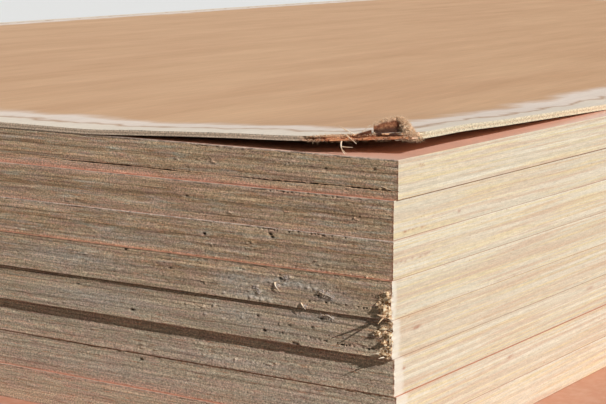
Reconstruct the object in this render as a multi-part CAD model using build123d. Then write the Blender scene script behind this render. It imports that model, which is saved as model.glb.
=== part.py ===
from build123d import *
import os
from math import cos, hypot, radians, sin, tan

# A stack of film-faced formwork plywood: eight like sheets on a ninth that lies further out, and a thin
# weathered cover sheet laid askew on top, whose near corner is broken off and has lifted.
#
# While it is built, the stack's near corner stands at X = 0, Y = 0 with the ground at Z = 0. X runs along
# the length of the sheets, Y across their width, and Z up. Millimetres and degrees throughout.

# The sheets: one stock size, sawn square
sheet_length = 1830.0
sheet_width = 915.0
sheet_thickness = 18.0

# How far each sheet's near end and near side lie in from the nominal corner, from the top sheet down
end_insets = [1.5, -0.5, -0.7, -1.6, -0.3, 2.6, 3.2, 1.7]
side_insets = [-0.8, 0.2, 0.2, 0.1, 0.3, 1.2, 0.3, 0.2]

# The bottom sheet, pushed out past the others at its near end and near side
base_end_reach = 25.0
base_side_reach = 45.0

# The cover sheet: its size, and where its near corner would be if it were whole
cover_length = 1830.0
cover_width = 915.0
cover_thickness = 3.0
cover_skew = 3.4
cover_corner_in = 12.2
cover_corner_out = 3.4

# Its broken corner, and its near end, which was sawn off in line with the stack's, out of square with its side:
# how far past the whole corner the end's line crosses the side's line
break_along_side = 6.8
break_along_end = 41.0
end_past_corner = 11.1

# Its lifted corner: where the bend crosses the side and the end, how steep it rises, and how tightly it bends
lift_along_side = 258.0
lift_along_end = 181.0
lift_angle = 3.15
lift_bend_radius = 400.0

# The top veneer, peeled up into a curl along the break: where it lies, its section, how far over the break its
# lip hangs, how deep its root lies in the sheet, and the stretch over which it rises to its full height
curl_from_side = 3.0
curl_length = 19.0
curl_radius = 3.3
curl_thickness = 1.0
curl_lip = 0.4
curl_root = 0.7
curl_rise = 7.0


def flat_sheet(end_inset, side_inset, underside):
    """One stock sheet, lying flat at a height, with its near corner at the given insets."""
    sheet = Box(sheet_length, sheet_width, sheet_thickness, align=(Align.MIN, Align.MIN, Align.MIN))
    return Pos(end_inset, side_inset, underside) * sheet


def bent_strip():
    """An endless strip of the cover's thickness, flat on Z = 0 and bent up along the lifted corner's foot."""
    reach = cover_length + cover_width
    foot_length = hypot(lift_along_side, lift_along_end)
    to_corner = Vector(-lift_along_end, -lift_along_side, 0) / foot_length
    along_foot = Vector(-lift_along_side, lift_along_end, 0) / foot_length
    foot = Plane(
        origin=(lift_along_side, 0, 0),
        x_dir=to_corner,
        z_dir=along_foot,
    )
    bend_start = -lift_bend_radius * radians(lift_angle) / 2
    under_flat = Line((-reach, 0), (bend_start, 0))
    under_bend = JernArc(under_flat @ 1, under_flat % 1, lift_bend_radius, lift_angle)
    under_tip = Line(under_bend @ 1, under_bend @ 1 + (under_bend % 1) * foot_length)
    top_flat = Line((-reach, cover_thickness), (bend_start, cover_thickness))
    top_bend = JernArc(top_flat @ 1, top_flat % 1, lift_bend_radius - cover_thickness, lift_angle)
    top_tip = Line(top_bend @ 1, top_bend @ 1 + (top_bend % 1) * foot_length)
    far_edge = Line(under_flat @ 0, top_flat @ 0)
    tip_edge = Line(under_tip @ 1, top_tip @ 1)
    outline = [under_flat, under_bend, under_tip, tip_edge, top_tip, top_bend, top_flat, far_edge]
    section = foot * make_face(outline)
    return extrude(section, amount=reach, both=True)


def on_near_end(along_end):
    """A place on the cover's near end, which runs parallel to the stack's while the sheet lies askew."""
    return Vector(along_end * tan(radians(cover_skew)) - end_past_corner, along_end, 0)


def cover_outline():
    """The cover seen from above, its whole corner at the origin, its side along X and its end near Y."""
    points = [
        Vector(break_along_side, 0, 0),
        Vector(cover_length, 0, 0),
        Vector(cover_length, cover_width, 0),
        on_near_end(cover_width),
        on_near_end(break_along_end),
    ]
    return make_face(Polyline(*points, close=True))


def lifted_top(place):
    """Height of the cover's top face over the stack at a place on its lifted corner."""
    foot_length = hypot(lift_along_side, lift_along_end)
    inside_foot = lift_along_end * place.X + lift_along_side * place.Y
    beyond_foot = (lift_along_side * lift_along_end - inside_foot) / foot_length
    angle = radians(lift_angle)
    beyond_bend = beyond_foot + lift_bend_radius * (angle / 2 - sin(angle))
    return lift_bend_radius * (1 - cos(angle)) + beyond_bend * tan(angle) + cover_thickness / cos(angle)


def peeled_curl():
    """The curl of veneer on the broken corner: a ring's section, open outwards and downwards, along the break."""
    break_start = Vector(break_along_side, 0, 0)
    along_break = (on_near_end(break_along_end) - break_start).normalized()
    out_of_break = Vector(-along_break.Y, along_break.X, 0)
    middle = break_start + along_break * (curl_from_side + curl_length / 2)
    start = break_start + along_break * curl_from_side
    root = Vector(start.X, start.Y, lifted_top(middle) - curl_root)
    ring = Circle(curl_radius) - Circle(curl_radius - curl_thickness)
    opening_height = curl_radius + (curl_radius ** 2 - curl_lip ** 2) ** 0.5 - curl_thickness
    opening = Rectangle(curl_radius, opening_height, align=(Align.MIN, Align.MIN))
    section = Pos(0, curl_radius) * (ring - Pos(0, -curl_radius) * opening)
    lip_cut = Pos(curl_lip, 0) * Rectangle(curl_radius, 2 * curl_radius, align=(Align.MIN, Align.MIN))
    curl = extrude(Plane(origin=root, x_dir=out_of_break, z_dir=along_break) * (section - lip_cut), curl_length)
    rising = Polyline(
        (0, 0),
        (curl_length, 0),
        (curl_length, 2 * curl_radius),
        (curl_rise, 2 * curl_radius),
        close=True,
    )
    beside_break = Plane(origin=root, x_dir=along_break, z_dir=-out_of_break)
    return curl & extrude(beside_break * make_face(rising), amount=2 * curl_radius, both=True)


def bent_cover(underside):
    """The cover sheet lying askew at a height: the bent strip, cut to its outline, with the curl on its break."""
    cutting_height = hypot(lift_along_side, lift_along_end)
    cover = bent_strip() & extrude(cover_outline(), amount=cutting_height)
    cover += peeled_curl()
    return Pos(cover_corner_in, -cover_corner_out, underside) * Rot(0, 0, cover_skew) * cover


pieces = {"base_sheet": flat_sheet(-base_end_reach, -base_side_reach, 0)}

sheet_count = len(end_insets)
stack_top = sheet_thickness * (sheet_count + 1)
for number, (end_inset, side_inset) in enumerate(zip(end_insets, side_insets), start=1):
    underside = stack_top - number * sheet_thickness
    pieces[f"sheet_{number}"] = flat_sheet(end_inset, side_inset, underside)

pieces["cover_sheet"] = bent_cover(stack_top)

# The origin: the middle of the whole stack's footprint, at its underside
box = Compound(list(pieces.values())).bounding_box()
footing = Vector(box.center().X, box.center().Y, box.min.Z)

os.makedirs("parts", exist_ok=True)
for name, piece in pieces.items():
    placed = Pos(-footing.X, -footing.Y, -footing.Z) * piece
    export_step(placed, f"parts/{name}.step")
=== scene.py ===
from math import radians

import bpy
import numpy as np
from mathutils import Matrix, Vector


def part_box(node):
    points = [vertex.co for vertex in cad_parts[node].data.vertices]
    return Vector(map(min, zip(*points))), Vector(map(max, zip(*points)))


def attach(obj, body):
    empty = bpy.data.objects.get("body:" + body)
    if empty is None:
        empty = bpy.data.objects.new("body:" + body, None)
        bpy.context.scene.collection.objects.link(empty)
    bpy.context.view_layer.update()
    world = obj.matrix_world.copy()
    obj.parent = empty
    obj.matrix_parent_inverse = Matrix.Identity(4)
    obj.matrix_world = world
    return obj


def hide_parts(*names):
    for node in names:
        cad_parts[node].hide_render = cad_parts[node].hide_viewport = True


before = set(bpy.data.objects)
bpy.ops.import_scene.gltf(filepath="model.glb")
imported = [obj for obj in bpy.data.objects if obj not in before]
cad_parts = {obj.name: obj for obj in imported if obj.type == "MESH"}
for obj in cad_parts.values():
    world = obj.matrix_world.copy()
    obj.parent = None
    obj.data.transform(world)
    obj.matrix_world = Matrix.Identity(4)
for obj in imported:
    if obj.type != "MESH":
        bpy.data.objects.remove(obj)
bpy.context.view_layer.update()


# The view, the light and the floor. A long lens looks level-headed at the stack's near corner from close by.
# One lamp with a soft edge rakes along the near end and falls full on the near side, and pale light from all
# round and from above fills the shade. The floor is plain and pale.
MM = 0.001
scene = bpy.context.scene
TOP_SHEET_INSET = Vector((1.5, -0.8, 0.0)) * MM
VIEW_YAW = radians(33.69)
VIEW_PITCH = radians(8.913)
CORNER_RIGHT_OF_VIEW = 40.5 * MM
CORNER_AHEAD = 732.4 * MM
EYE_ABOVE_TOP = 96.4 * MM
LENS_IN_PIXELS = 1685.0
PICTURE_WIDTH = 606.0
SENSOR_WIDTH = 36.0

sheet_low, sheet_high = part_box("sheet_1")
corner = Vector((sheet_low.x, sheet_low.y, sheet_high.z)) - TOP_SHEET_INSET
ahead = Vector((np.cos(VIEW_YAW), np.sin(VIEW_YAW), 0.0))
to_right = Vector((np.sin(VIEW_YAW), -np.cos(VIEW_YAW), 0.0))

camera_data = bpy.data.cameras.new("camera")
camera_data.sensor_width = SENSOR_WIDTH
camera_data.lens = LENS_IN_PIXELS / PICTURE_WIDTH * SENSOR_WIDTH
camera_data.clip_start = 0.01
camera_data.clip_end = 100.0
camera = bpy.data.objects.new("camera", camera_data)
scene.collection.objects.link(camera)
look = ahead * np.cos(VIEW_PITCH) - Vector((0.0, 0.0, np.sin(VIEW_PITCH)))
camera.location = corner - to_right * CORNER_RIGHT_OF_VIEW - ahead * CORNER_AHEAD
camera.location.z += EYE_ABOVE_TOP
camera.rotation_euler = look.to_track_quat("-Z", "Y").to_euler()
scene.camera = camera


def lamp(name, travel, strength, softness):
    """A lamp so far away that its light is parallel. Softness is the angle that it covers, in degrees."""
    data = bpy.data.lights.new(name, "SUN")
    data.energy = strength
    data.angle = radians(softness)
    holder = bpy.data.objects.new(name, data)
    holder.rotation_euler = Vector(travel).to_track_quat("-Z", "Y").to_euler()
    scene.collection.objects.link(holder)


lamp("key_lamp", (0.26, 0.845, -0.467), 3.8, 0.45)
lamp("overhead_lamp", (0.05, 0.0, -1.0), 0.36, 50.0)
lamp("back_lamp", (-0.7, -0.6, -0.5), 0.6, 40.0)

def add_node(tree, kind, settings=None, **inputs):
    """Adds a node, sets its settings, and fills its inputs by name or number, with values or links."""
    made = tree.nodes.new(kind)
    for key, value in (settings or {}).items():
        setattr(made, key, value)
    for key, value in inputs.items():
        socket = made.inputs[int(key[1:])] if key[1:].isdigit() else made.inputs[key]
        if isinstance(value, bpy.types.NodeSocket):
            tree.links.new(value, socket)
        else:
            socket.default_value = value
    return made


FILL_STRENGTH = 0.07
world = bpy.data.worlds.new("pale_room")
scene.world = world
world.use_nodes = True
room = world.node_tree
room.nodes.clear()
seen = add_node(room, "ShaderNodeBackground", Color=(1, 1, 1, 1))
fill = add_node(room, "ShaderNodeBackground", Color=(0.86, 0.98, 1, 1), Strength=FILL_STRENGTH)
ray = add_node(room, "ShaderNodeLightPath").outputs
is_seen = add_node(room, "ShaderNodeMath", {"operation": "MAXIMUM"},
                   i0=ray["Is Camera Ray"], i1=ray["Is Transmission Ray"]).outputs[0]
sky = add_node(room, "ShaderNodeMixShader", i0=is_seen, i1=fill.outputs[0], i2=seen.outputs[0])
add_node(room, "ShaderNodeOutputWorld", Surface=sky.outputs[0])
scene.view_settings.view_transform = "Standard"


def paint(red, green, blue):
    """A colour given as it shows on a screen, from 0 to 255, as the linear values that shaders take."""
    shown = np.array([red, green, blue]) / 255.0
    linear = np.where(shown <= 0.04045, shown / 12.92, ((shown + 0.055) / 1.055) ** 2.4)
    return (*linear.tolist(), 1)


class Finish:
    """A material in the making: its nodes, its Principled shader, and the colour laid on so far."""

    def __init__(self, name, roughness):
        self.material = bpy.data.materials.new(name)
        self.material.use_nodes = True
        self.tree = self.material.node_tree
        self.shader = self.tree.nodes["Principled BSDF"]
        self.shader.inputs["Roughness"].default_value = roughness
        self.place = self.node("ShaderNodeTexCoord").outputs["Object"]

    def node(self, kind, settings=None, **inputs):
        """Adds a node to this material."""
        return add_node(self.tree, kind, settings, **inputs)

    def into(self, socket, name):
        """Links a value into one of the shader's own sockets."""
        self.tree.links.new(socket, self.shader.inputs[name])

    def attribute(self, name):
        """A number that the mesh carries at each of its points."""
        return self.node("ShaderNodeAttribute", {"attribute_name": name}).outputs["Fac"]

    def noise(self, size, detail=2, rough=0.5, turn=0, shift=(0, 0, 0)):
        """Cloudy noise from 0 to 1, its blotches sized in millimetres along X, Y and Z, turned about Z."""
        turned = self.node("ShaderNodeMapping", i0=self.place, i1=shift, i2=(0, 0, turn)).outputs[0]
        scale = tuple(1.0 / (length * MM) for length in size)
        scaled = self.node("ShaderNodeMapping", i0=turned, i3=scale).outputs[0]
        made = self.node("ShaderNodeTexNoise", Vector=scaled, Scale=1, Detail=detail, Roughness=rough)
        return made.outputs["Fac"]

    def ramp(self, value, *stops):
        """Colours (red, green, blue), or numbers as greys, at stops from 0 to 1, blended between them."""
        made = self.node("ShaderNodeValToRGB", i0=value)
        band = made.color_ramp
        while len(band.elements) < len(stops):
            band.elements.new(0.5)
        for element, (at, colour) in zip(band.elements, stops):
            element.position = at
            element.color = paint(*colour) if isinstance(colour, tuple) else (colour, colour, colour, 1)
        return made.outputs["Color"]

    def patches(self, size, detail, rough, start, full, most, shift=(0, 0, 0)):
        """Noise as patches: nothing up to a starting level, and the most from a full one."""
        return self.ramp(self.noise(size, detail, rough, shift=shift), (start, 0), (full, most))

    def mix(self, share, first, second, way="MIX"):
        """The first colour, with a share of the second laid over it."""
        settings = {"data_type": "RGBA", "blend_type": way}
        return self.node("ShaderNodeMix", settings, i0=share, i6=first, i7=second).outputs[2]

    def lay(self, share, red, green, blue):
        """Lays a share of one more colour on."""
        self.colour = self.mix(share, self.colour, paint(red, green, blue))

    def shade(self, noise, *stops):
        """Multiplies the colour by noise, as greys at stops."""
        self.colour = self.mix(1, self.colour, self.ramp(noise, *stops), "MULTIPLY")

    def sum(self, way, first, second):
        """One sum on two numbers."""
        return self.node("ShaderNodeMath", {"operation": way}, i0=first, i1=second).outputs[0]

    def height(self):
        """Height over the floor, in metres."""
        return self.node("ShaderNodeSeparateXYZ", i0=self.place).outputs["Z"]

    def done(self, relief=None, depth=0):
        """Hands the shader the colour, and relief: a height from 0 to 1 over a depth in millimetres."""
        self.into(self.colour, "Base Color")
        if relief:
            bump = self.node("ShaderNodeBump", Height=relief, Distance=depth * MM, Strength=1)
            self.into(bump.outputs["Normal"], "Normal")
        return self


FLOOR_HALF = 14.0
floor_mesh = bpy.data.meshes.new("floor")
floor_corners = [(a * FLOOR_HALF, b * FLOOR_HALF, 0) for a, b in ((-1, -1), (1, -1), (1, 1), (-1, 1))]
floor_mesh.from_pydata(floor_corners, [], [(0, 1, 2, 3)])
floor = bpy.data.objects.new("floor", floor_mesh)
scene.collection.objects.link(floor)
floor_finish = Finish("floor_paint", 0.9)
floor_seen = floor_finish.node("ShaderNodeLightPath").outputs["Is Camera Ray"]
floor_finish.colour = floor_finish.mix(floor_seen, paint(112, 110, 106), paint(247, 246, 244))
floor_finish.done()
floor_mesh.materials.append(floor_finish.material)


# The sheets: formwork plywood of eleven cross-laid softwood plies, with a red-brown resin film pressed on to
# both faces. Their sides are sawn clean and pale. Their ends are weathered, furry and pitted, and two of them
# are crushed at the near corner. They lie loose on each other, a millimetre or three out of line.
PLIES = 11
SHEET_THICKNESS = 18.0
# Where the rows of points lie up each ply, as shares of it, and beside each film
PLY_ROWS = (0.06, 0.36, 0.66, 0.94)
FILM_ROWS = (0, 0.16, 0.34, 0.6, 0.95, 1.35)
FILM_RING = 6.0
END_SPACING = 0.6
SIDE_SPACING = 1.2
NEAR_STRETCH = 110.0
SPACING_GROWTH = 0.015
WIDEST_SPACING = 18.0
FAR_SPACING = 26.0
SHARPEST_SMOOTHED = 45.0


def grain(u, v, length, height, seed):
    """Value noise from -1 to 1: random levels at the corners of cells, length by height, joined by the smooth
    step 3t^2 - 2t^3."""
    lattice = np.random.default_rng(seed).uniform(-1, 1, (257, 257))
    a, b = np.broadcast_arrays(np.asarray(u) / length, np.asarray(v) / height)
    i, j = np.floor(a).astype(int), np.floor(b).astype(int)
    s, t = a - i, b - j
    s, t = s * s * (3 - 2 * s), t * t * (3 - 2 * t)
    i, j = i % 256, j % 256
    low = lattice[i, j] * (1 - s) + lattice[i + 1, j] * s
    high = lattice[i, j + 1] * (1 - s) + lattice[i + 1, j + 1] * s
    return low * (1 - t) + high * t


def wave(s, length, seed):
    """The same noise along one line."""
    return grain(s, 0, length, 1, seed)


def unit(values):
    """Values cut to the range from 0 to 1."""
    return np.clip(values, 0, 1)


def spread(length, spacing, near=NEAR_STRETCH, growth=SPACING_GROWTH, widest=WIDEST_SPACING):
    """Distances along an edge from 0 to its length: evenly spaced over the near stretch, then each gap the
    last times (1 + growth), up to the widest."""
    places = [0]
    gap = spacing
    while places[-1] + gap < length:
        places.append(places[-1] + gap)
        if places[-1] > near:
            gap = min(gap * (1 + growth), widest)
    places[-1] = length
    return np.array(places)


class Skin:
    """A mesh in the making, from shells of points in millimetres. Each shell brings its faces, each face's
    material, and numbers that its points carry for the materials to read."""

    def __init__(self):
        self.shells = []
        self.size = 0

    def add(self, points, faces, kind=0, **carried):
        """Takes in one closed shell, whose faces number its own points from 0."""
        points = np.asarray(points, dtype=float).reshape(-1, 3)
        shifted = [[point + self.size for point in face] for face in faces]
        kinds = np.broadcast_to(kind, len(shifted))
        self.shells.append((points, shifted, kinds, carried))
        self.size += len(points)

    def put(self, name, finishes, replaced, slot="film_faced_plywood"):
        """Turns the shells into one object with its materials, in its place on the stack."""
        mesh = bpy.data.meshes.new(name)
        points = np.concatenate([shell[0] for shell in self.shells]) * MM
        mesh.from_pydata(points.tolist(), [], [face for shell in self.shells for face in shell[1]])
        kinds = np.concatenate([shell[2] for shell in self.shells]).astype(np.int32)
        mesh.polygons.foreach_set("material_index", kinds)
        mesh.polygons.foreach_set("use_smooth", np.ones(len(kinds), dtype=bool))
        mesh.set_sharp_from_angle(angle=radians(SHARPEST_SMOOTHED))
        names = {key for shell in self.shells for key in shell[3]}
        for key in sorted(names):
            values = [np.broadcast_to(shell[3].get(key, 0), len(shell[0])) for shell in self.shells]
            layer = mesh.attributes.new(key, "FLOAT", "POINT")
            layer.data.foreach_set("value", np.concatenate(values).astype(np.float32))
        for finish in finishes:
            mesh.materials.append(finish.material)
        made = bpy.data.objects.new(name, mesh)
        scene.collection.objects.link(made)
        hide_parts(replaced)
        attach(made, "root")


def wrap(index):
    """The faces of a grid of numbered points whose last column joins the first."""
    turned = np.roll(index, -1, axis=0)
    return np.stack([index[:, :-1], turned[:, :-1], turned[:, 1:], index[:, 1:]], axis=-1).reshape(-1, 4)


def strands(paths, half_width, half_thick, sides):
    """Points and faces of thin closed tubes along paths, an array of strands by points by 3: each ring is an
    ellipse square to its path, wide cos and thick sin of the turn."""
    count, rings = paths.shape[:2]
    along = np.gradient(paths, axis=1)
    along /= np.linalg.norm(along, axis=2, keepdims=True)
    flat = np.cross(along, (0.31, 0.22, 0.93))
    flat /= np.linalg.norm(flat, axis=2, keepdims=True)
    up = np.cross(flat, along)
    turn = np.arange(sides) * 2 * np.pi / sides
    wide = np.broadcast_to(half_width, (count, rings))[:, :, None, None]
    thick = np.broadcast_to(half_thick, (count, rings))[:, :, None, None]
    ring = wide * np.cos(turn)[:, None] * flat[:, :, None] + thick * np.sin(turn)[:, None] * up[:, :, None]
    points = paths[:, :, None] + ring
    one = wrap(np.arange(sides * rings).reshape(rings, sides).T)
    starts = np.arange(count) * rings * sides
    faces = (one[None] + starts[:, None, None]).reshape(-1, 4).tolist()
    first = np.arange(sides)[::-1]
    last = np.arange(sides) + (rings - 1) * sides
    caps = np.stack([first, last])[None] + starts[:, None, None]
    return points.reshape(-1, 3), faces + caps.reshape(-1, sides).tolist()


def bow(first, middle, last, steps):
    """Points on the quadratic curve a(1 - t)^2 + 2bt(1 - t) + ct^2 from a to c, drawn towards b."""
    t = np.linspace(0, 1, steps)[:, None]
    return first * (1 - t) ** 2 + 2 * middle * t * (1 - t) + last * t ** 2


def hairs(skin, roots, way, lengths, seed, stray, droop, wide, thick, sides, kind, **carried):
    """Adds tapering fibres, root + length (way t + bend t^2), each way and bend turned aside at random."""
    draw = np.random.default_rng(seed)
    count = len(roots)
    ways = np.array(way) + stray * draw.normal(size=(count, 3))
    ways /= np.linalg.norm(ways, axis=1, keepdims=True)
    bend = droop * draw.normal(size=(count, 3))
    t = np.linspace(0, 1, len(wide))[None, :, None]
    paths = roots[:, None] + lengths[:, None, None] * (ways[:, None] * t + bend[:, None] * t * t)
    skin.add(*strands(paths, wide, thick, sides), kind, **carried)


def bells(s, h, places):
    """A sum of bells, level exp(-(ds/a)^2 - (dh/b)^2), at places (s, h, a, b, level)."""
    total = np.zeros(np.broadcast(s, h).shape)
    for at_s, at_h, half_length, half_height, level in places:
        total += level * np.exp(-(((s - at_s) / half_length) ** 2) - ((h - at_h) / half_height) ** 2)
    return total


def pits(s, h, places, half_length, half_height):
    """Round-bottomed pits of one size: bells at places (s, h, depth)."""
    return bells(s, h, [(at_s, at_h, half_length, half_height, depth) for at_s, at_h, depth in places])


def pit_row(first, last, height, count, depth, seed):
    """Places for a row of pits from one distance to another, unevenly spaced and unevenly deep."""
    draw = np.random.default_rng(seed)
    along = np.linspace(first, last, count) + draw.uniform(-0.4, 0.4, count) * (last - first) / count
    return [(a, height + draw.uniform(-0.3, 0.3), depth * draw.uniform(0.3, 1.2)) for a in along]


def plywood_rows(extra):
    """Heights of the points up a sheet's edge: four to each ply, and closer together at the two films."""
    ply = SHEET_THICKNESS / PLIES
    inner = [(k + share) * ply for k in range(1, PLIES - 1) for share in PLY_ROWS]
    rows = [*FILM_ROWS, *inner, *(SHEET_THICKNESS - r for r in FILM_ROWS), *extra]
    return np.unique(np.round(rows, 4))


def end_relief(s, h, ply, fade, number):
    """How far a weathered end stands out at distance s and height h: a sum of each ply's own step, the saw's
    wander, and noises for slanting scratches, fur, fine streaks and a few torn crumbs."""
    step = np.random.default_rng(500 + number).uniform(-1, 1, PLIES)[ply]
    out = 0.05 * step + 0.05 * grain(s, ply * 9, 45, 1, 20 + number)
    out += 0.12 * wave(s, 160, 40 + number)
    rough = 0.6 + 0.5 * grain(s, h, 25, 3, 60 + number)
    scratch = 0.06 * grain(s + 0.55 * h, h, 1.3, 4, 80 + number)
    fur = 0.09 * grain(s, h, 0.8, 0.45, 100 + number)
    streak = 0.05 * grain(s, h, 9, 0.5, 120 + number)
    out += fade * (rough * (scratch + fur) + streak)
    crumb = unit(grain(s, h, 1.7, 0.8, 140 + number) - 0.62)
    patch = unit(grain(s, h, 20, 3, 160 + number))
    return out + fade * patch * 2.2 * crumb


def side_relief(s, h, ply, fade, number):
    """How far a clean-sawn side stands out: a sum of the plies' small steps, a long wander and streaks."""
    step = np.random.default_rng(700 + number).uniform(-1, 1, PLIES)[ply]
    out = 0.02 * step + 0.10 * wave(s, 220, 240 + number)
    return out + fade * 0.014 * grain(s, h, 9, 0.5, 260 + number)


# Marks on the near ends: rows of pores (first, last, height, how many, depth), single holes (distance,
# height, depth), and crumbs of fur that stand out (distance, height, how far)
PORE_ROWS = {
    2: [(31, 67, 17.3, 16, 0.7)],
    3: [(24, 74, 17.1, 26, 0.9)],
    4: [(14, 44, 4.3, 20, 0.9), (60, 88, 14.6, 9, 0.5)],
    5: [(36, 44, 4, 7, 1.1), (51, 64, 4.2, 7, 0.9), (21, 31, 3.6, 7, 1.3), (11, 15.5, 3.5, 4, 1.6)],
}
HOLES = {
    1: [(38.4, 11.3, 0.6), (12.5, 12.9, 0.6)],
    2: [(115.3, 10.5, 0.7)],
    3: [(66.5, 14.8, 1.2), (65.4, 13.5, 1.1), (104.8, 11.1, 1.4)],
    4: [(39.8, 7, 1.1), (153, 16.9, 1.2), (125, 10.4, 0.7), (60.5, 12.5, 0.8)],
    5: [(70.1, 4.3, 1.3), (149.8, 4.5, 1.5), (185.4, 13.5, 0.8), (38, 14.2, 0.9), (56, 8.6, 0.7),
        (74, 11, 0.8), (43.5, 9.4, 0.6), (53.5, 0.6, 0.9), (51.5, 0.4, 0.8)],
    7: [(147.7, 14.9, 1.3)],
}
CRUMBS = {
    4: [(72.9, 7.6, 1.1), (72.2, 4.6, 0.9), (54.8, 13.9, 1), (66, 10.4, 0.6), (58, 10.1, 0.5),
        (49.3, 10, 0.6), (45, 9.9, 0.7), (41, 9.8, 0.8), (33, 10, 0.6), (24.8, 10.1, 0.5),
        (77, 1.9, 0.9), (74, 1.7, 0.7), (71, 1.5, 0.8), (66, 1.2, 0.6), (92.6, 2.1, 0.9),
        (78, 5, 0.5), (202, 16.5, 0.9)],
    5: [(99.3, 12.8, 0.8), (82.5, 9, 0.7), (104.4, 8.2, 0.8), (33.1, 8.7, 0.6), (25.6, 6.9, 0.6),
        (80, 12.5, 0.5), (94, 7, 0.5)],
}

# The split between two plies of the top sheet: its height, its length, its depth, and the rows that it needs
CRACK_HEIGHT = 4.05
CRACK_LENGTH = 232.0
CRACK_DEPTH = 1.1
CRACK_ROWS = (3.45, 3.7, 3.85, 4, 4.15, 4.3, 4.55)


def crack(s, h):
    """How deep the split is: a bell exp(-((h - line) / half)^2) about a wandering line, with noise in how far
    it gapes and where it closes, narrowing towards its far end."""
    line = CRACK_HEIGHT + 0.16 * wave(s, 17, 901) + 0.09 * wave(s, 2.2, 902)
    gape = 0.62 + 0.4 * wave(s, 9, 903) + 0.5 * wave(s, 1.6, 904)
    half = 0.33 * np.clip(gape, 0.25, 1.1) * np.clip((230.0 - s) / 70, 0.1, 1)
    closed = unit(0.5 + 1.6 * wave(s, 13, 905))
    closed = unit((s - 10) / 90) * closed
    bell = np.exp(-(((h - line) / half) ** 2)) * (s < CRACK_LENGTH)
    return CRACK_DEPTH * bell * (1.0 - 0.85 * closed)


def end_marks(number, s, h):
    """What has been split, pitted or worn out of one near end, as depths: bells for the pores and holes,
    noise over a threshold for small pits, and nicks under the upper film."""
    rows = [pit_row(*row, 900 + place) for place, row in enumerate(PORE_ROWS.get(number, []))]
    out = pits(s, h, [pit for row in rows for pit in row], 0.46, 0.30)
    out *= 1.0 + 0.8 * grain(s, h, 0.7, 0.5, 310 + number)
    out += pits(s, h, HOLES.get(number, []), 0.9, 0.5)
    out += 0.35 * unit(grain(s, h, 0.9, 0.7, 320 + number) - 0.8) / 0.2
    nicks = 2.0 * wave(s, 1.8, 340 + number) + 1.6 * wave(s, 22, 360 + number)
    nick_height = 17.0 + 0.25 * wave(s, 3, 365 + number)
    out += 0.35 * unit(nicks - 0.6) * np.exp(-(((h - nick_height) / 0.22) ** 2))
    return (out + crack(s, h)) if number == 1 else out


# The crushed corner: how far it reaches along the end, and how high up in the fourth sheet
TORN_REACH = 8.5
TORN_TOP_IN_FOURTH = 13.5

# Hollows (distance, height, depth) and lumps (distance, height, how far out, half length, half height, half
# depth) of the crushed corner
TORN_HOLLOWS = {
    4: [(5.6, 8.2, 1.3), (7.4, 6.6, 0.9), (3.6, 7.6, 1), (6.8, 1.6, 0.8)],
    5: [(3.9, 13, 1.7), (2.4, 12.2, 1.3), (6, 9.4, 1), (2.2, 6.2, 1.1), (5, 4.9, 1),
        (1.2, 3.4, 0.9)],
}
TORN_LUMPS = {
    4: [(2.3, 12.2, 0.5, 0.9, 1.2, 0.9), (0.9, 9.6, 0.4, 0.8, 1.1, 0.7), (4, 5.2, 0.9, 2.8, 2.3, 1.4),
        (1.4, 4.2, 0.5, 1.5, 2.2, 1), (7.6, 6.8, 0.3, 0.9, 0.8, 0.6), (1.4, 1.2, 0.4, 1.8, 0.7, 0.9)],
    5: [(7.6, 11.4, 0.5, 1.7, 1.6, 1.2), (4.8, 13.9, 0.4, 2, 0.7, 0.9), (1.6, 11.6, 0.5, 1.6, 1.2, 1),
        (4.2, 7.6, 0.6, 1.9, 1, 1.2), (1, 8.3, 0.2, 0.9, 1.3, 0.7), (3, 2.2, 0.5, 2.4, 0.9, 1),
        (7, 2, 0.3, 1.9, 0.6, 0.8), (0.9, 4.9, 0.2, 0.8, 1, 0.7)],
}


def crushed(number, s, h):
    """How badly the near corner is crushed, from 0 to 1: 2.2 (1 - s / reach) + noise, from the fourth sheet's
    middle down through the whole of the fifth."""
    if number not in (4, 5):
        return np.zeros(np.broadcast(s, h).shape)
    top = unit((TORN_TOP_IN_FOURTH - h) / 1.5) if number == 4 else 1.0
    reach = TORN_REACH * (0.62 + 0.38 * grain(0, h, 1, 2.6, 370 + number))
    return top * unit(2.2 * (1.0 - s / reach) + 0.5 * grain(s, h, 1.4, 0.9, 380 + number))


# Small knots and rows of specks on the near sides: (distance, height, half length, half height, how dark)
SIDE_SPOTS = {
    1: [(19, 13.9, 0.8, 0.4, 0.7), (21.2, 13.7, 0.6, 0.4, 0.8), (20.3, 12.8, 0.9, 0.3, 0.6),
        (22.7, 13.2, 0.6, 0.3, 0.5)],
    2: [(10, 2.9, 1.6, 0.5, 0.8), (13.5, 3.2, 1.1, 0.4, 0.6), (17, 3, 1.3, 0.4, 0.7),
        (20, 3.2, 0.9, 0.3, 0.5), (25.5, 2.8, 1.6, 0.5, 0.7), (28.5, 2.9, 1, 0.3, 0.5),
        (60.1, 5.5, 1, 0.7, 1)],
    3: [(2.5, 7.6, 0.8, 0.4, 0.5), (7, 7.9, 1.2, 0.4, 0.5), (10.5, 7.5, 1, 0.5, 0.6),
        (17, 7.7, 0.8, 0.5, 0.6), (24, 7.4, 1.5, 0.4, 0.5), (28.5, 7.6, 1.8, 0.6, 0.6),
        (32, 7.9, 1.2, 0.4, 0.4)],
    5: [(20.5, 10.9, 2, 0.7, 0.8), (23, 11.5, 1.6, 0.6, 0.6)],
    6: [(8.6, 11.9, 1.3, 0.6, 0.8), (6.6, 11.2, 0.8, 0.4, 0.5), (212, 13.6, 4, 0.8, 0.7)],
    7: [(113, 13.3, 3.5, 0.9, 0.6)],
}

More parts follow.
